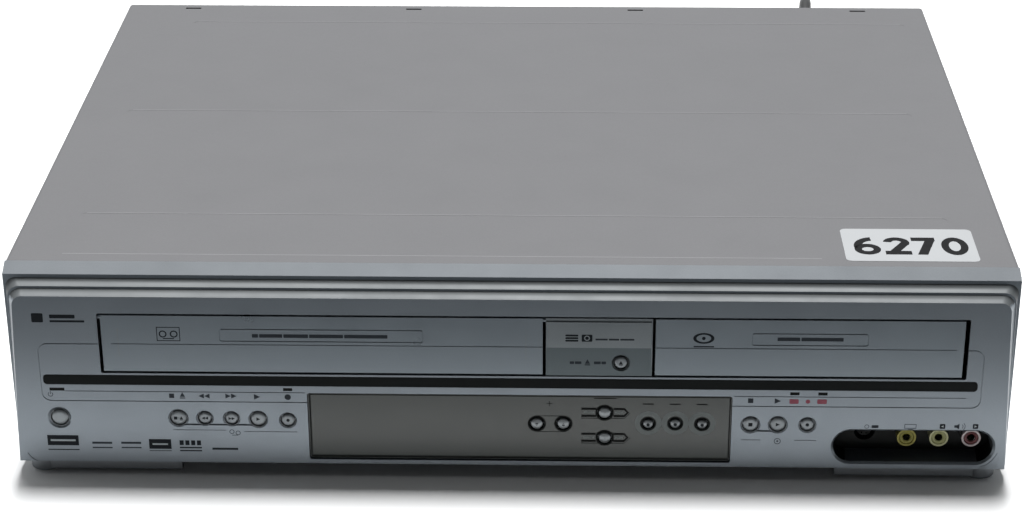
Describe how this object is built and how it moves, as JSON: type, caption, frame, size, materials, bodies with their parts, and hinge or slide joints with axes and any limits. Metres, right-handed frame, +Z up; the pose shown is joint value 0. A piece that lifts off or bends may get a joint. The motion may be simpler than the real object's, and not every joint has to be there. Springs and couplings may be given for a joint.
{
  "type": "disc and cassette recorder",
  "caption": "Wide flat silver recorder with a flap for video cassettes, a disc tray, a display window, round keys, front sockets, and a mains lead at the back.",
  "frame": {"origin": "bottom centre of the box of the recorder without its mains lead, on the surface under the feet", "axes": "+X to the right seen from the front, +Y to the back, +Z up"},
  "size_m": [0.436, 0.44, 0.0996],
  "materials": {
    "silver_plastic": "satin metallic silver paint on moulded plastic",
    "bright_plate": "satin bright silver",
    "button_silver": "satin metallised",
    "cover_steel": "satin silver paint with a fine texture",
    "rear_steel": "galvanised",
    "smoked_window": "smoked olive-grey, smooth",
    "black_plastic": "black",
    "lens_dark": "dark",
    "jack_metal": "plated",
    "screw_steel": "dark plated",
    "board_green": "coated board",
    "machined_metal": "machined",
    "white_plastic": "moulded",
    "paper": "matt white label"
  },
  "bodies": {
    "housing": {"front_panel": "silver_plastic", "feet": "silver_plastic", "centre_plate": "bright_plate", "top_cover": "cover_steel", "rear_panel": "rear_steel", "chassis_base": "rear_steel", "tape_deck": "rear_steel", "tuner_module": "rear_steel", "display_window": "smoked_window", "trim_strip": "black_plastic", "loader_frame": "black_plastic", "s_video_jack": "black_plastic", "scart_sockets": "black_plastic", "cord_strain_relief": "black_plastic", "mains_cord": "black_plastic", "cord_coil": "black_plastic", "mains_plug": "black_plastic", "jack_panel": "black_plastic", "indicator_lenses": "lens_dark", "display_module": "lens_dark", "front_rca_jacks": "jack_metal", "rear_rca_jacks": "jack_metal", "cover_screws": "screw_steel", "door_spring": "screw_steel", "guide_rods": "screw_steel", "front_board": "board_green", "main_board": "board_green", "power_board": "board_green", "head_drum_lower": "machined_metal", "hard_drive": "machined_metal", "inventory_label": "paper"},
    "cassette_door": {"cassette_door": "silver_plastic"},
    "carriage": {"loading_carriage": "rear_steel"},
    "holder": {"cassette_holder": "black_plastic"},
    "drum": {"head_drum_upper": "machined_metal"},
    "capstan": {"capstan_flywheel": "machined_metal"},
    "supply_reel": {"supply_reel_table": "white_plastic"},
    "take_up_reel": {"take_up_reel_table": "white_plastic"},
    "tray": {"disc_tray": "black_plastic", "tray_door": "silver_plastic"},
    "spindle": {"turntable": "machined_metal"},
    "clamp": {"clamp_puck": "black_plastic"},
    "sled": {"optical_pickup": "white_plastic"},
    "power_button": {"power_button": "button_silver"},
    "vcr_stop_eject_button": {"vcr_stop_eject_button": "button_silver"},
    "vcr_rewind_button": {"vcr_rewind_button": "button_silver"},
    "vcr_forward_button": {"vcr_forward_button": "button_silver"},
    "vcr_play_button": {"vcr_play_button": "button_silver"},
    "vcr_record_button": {"vcr_record_button": "button_silver"},
    "disc_stop_button": {"disc_stop_button": "button_silver"},
    "disc_play_button": {"disc_play_button": "button_silver"},
    "disc_record_button": {"disc_record_button": "button_silver"},
    "tray_open_button": {"tray_open_button": "button_silver"},
    "channel_down_button": {"channel_down_button": "button_silver"},
    "channel_up_button": {"channel_up_button": "button_silver"},
    "copy_to_disc_button": {"copy_to_disc_button": "button_silver"},
    "copy_to_tape_button": {"copy_to_tape_button": "button_silver"},
    "select_button_left": {"select_button_left": "button_silver"},
    "select_button_middle": {"select_button_middle": "button_silver"},
    "select_button_right": {"select_button_right": "button_silver"}
  },
  "joints": [
    {"name": "cassette_door_hinge", "type": "hinge", "parent": "housing", "child": "cassette_door", "pos_m": [-0.08, -0.17015, 0.078], "axis": [1, 0, 0], "range_deg": [0, 84], "stiffness_Nm_per_rad": 0.02},
    {"name": "carriage_slide", "type": "slide", "parent": "housing", "child": "carriage", "axis": [0, 1, 0], "range_m": [0, 0.058]},
    {"name": "holder_drop", "type": "slide", "parent": "carriage", "child": "holder", "axis": [0, 0, -1], "range_m": [0, 0.015]},
    {"name": "head_drum_spin", "type": "hinge", "parent": "housing", "child": "drum", "pos_m": [-0.084, 0.06595, 0.05], "axis": [0, 0, 1], "continuous": true},
    {"name": "capstan_spin", "type": "hinge", "parent": "housing", "child": "capstan", "pos_m": [-0.012, 0.05395, 0.02], "axis": [0, 0, 1], "continuous": true},
    {"name": "supply_reel_spin", "type": "hinge", "parent": "housing", "child": "supply_reel", "pos_m": [-0.1273, -0.02605, 0.03], "axis": [0, 0, 1], "continuous": true},
    {"name": "take_up_reel_spin", "type": "hinge", "parent": "housing", "child": "take_up_reel", "pos_m": [-0.0349, -0.02605, 0.03], "axis": [0, 0, 1], "continuous": true},
    {"name": "tray_slide", "type": "slide", "parent": "housing", "child": "tray", "axis": [0, -1, 0], "range_m": [0, 0.136]},
    {"name": "turntable_spin", "type": "hinge", "parent": "housing", "child": "spindle", "pos_m": [0.129, -0.10005, 0.06], "axis": [0, 0, 1], "continuous": true},
    {"name": "clamp_spin", "type": "hinge", "parent": "housing", "child": "clamp", "pos_m": [0.129, -0.10005, 0.076], "axis": [0, 0, 1], "continuous": true},
    {"name": "pickup_slide", "type": "slide", "parent": "housing", "child": "sled", "axis": [0, 1, 0], "range_m": [0, 0.036]},
    {"name": "power_press", "type": "slide", "parent": "housing", "child": "power_button", "axis": [0, 1, 0], "range_m": [0, 0.0008], "stiffness_N_per_m": 600},
    {"name": "vcr_stop_eject_press", "type": "slide", "parent": "housing", "child": "vcr_stop_eject_button", "axis": [0, 1, 0], "range_m": [0, 0.0008], "stiffness_N_per_m": 600},
    {"name": "vcr_rewind_press", "type": "slide", "parent": "housing", "child": "vcr_rewind_button", "axis": [0, 1, 0], "range_m": [0, 0.0008], "stiffness_N_per_m": 600},
    {"name": "vcr_forward_press", "type": "slide", "parent": "housing", "child": "vcr_forward_button", "axis": [0, 1, 0], "range_m": [0, 0.0008], "stiffness_N_per_m": 600},
    {"name": "vcr_play_press", "type": "slide", "parent": "housing", "child": "vcr_play_button", "axis": [0, 1, 0], "range_m": [0, 0.0008], "stiffness_N_per_m": 600},
    {"name": "vcr_record_press", "type": "slide", "parent": "housing", "child": "vcr_record_button", "axis": [0, 1, 0], "range_m": [0, 0.0008], "stiffness_N_per_m": 600},
    {"name": "disc_stop_press", "type": "slide", "parent": "housing", "child": "disc_stop_button", "axis": [0, 1, 0], "range_m": [0, 0.0008], "stiffness_N_per_m": 600},
    {"name": "disc_play_press", "type": "slide", "parent": "housing", "child": "disc_play_button", "axis": [0, 1, 0], "range_m": [0, 0.0008], "stiffness_N_per_m": 600},
    {"name": "disc_record_press", "type": "slide", "parent": "housing", "child": "disc_record_button", "axis": [0, 1, 0], "range_m": [0, 0.0008], "stiffness_N_per_m": 600},
    {"name": "tray_open_press", "type": "slide", "parent": "housing", "child": "tray_open_button", "axis": [0, 1, 0], "range_m": [0, 0.0008], "stiffness_N_per_m": 600},
    {"name": "channel_down_press", "type": "slide", "parent": "housing", "child": "channel_down_button", "axis": [0, 1, 0], "range_m": [0, 0.0008], "stiffness_N_per_m": 600},
    {"name": "channel_up_press", "type": "slide", "parent": "housing", "child": "channel_up_button", "axis": [0, 1, 0], "range_m": [0, 0.0008], "stiffness_N_per_m": 600},
    {"name": "copy_to_disc_press", "type": "slide", "parent": "housing", "child": "copy_to_disc_button", "axis": [0, 1, 0], "range_m": [0, 0.0008], "stiffness_N_per_m": 600},
    {"name": "copy_to_tape_press", "type": "slide", "parent": "housing", "child": "copy_to_tape_button", "axis": [0, 1, 0], "range_m": [0, 0.0008], "stiffness_N_per_m": 600},
    {"name": "select_left_press", "type": "slide", "parent": "housing", "child": "select_button_left", "axis": [0, 1, 0], "range_m": [0, 0.0008], "stiffness_N_per_m": 600},
    {"name": "select_middle_press", "type": "slide", "parent": "housing", "child": "select_button_middle", "axis": [0, 1, 0], "range_m": [0, 0.0008], "stiffness_N_per_m": 600},
    {"name": "select_right_press", "type": "slide", "parent": "housing", "child": "select_button_right", "axis": [0, 1, 0], "range_m": [0, 0.0008], "stiffness_N_per_m": 600}
  ]
}
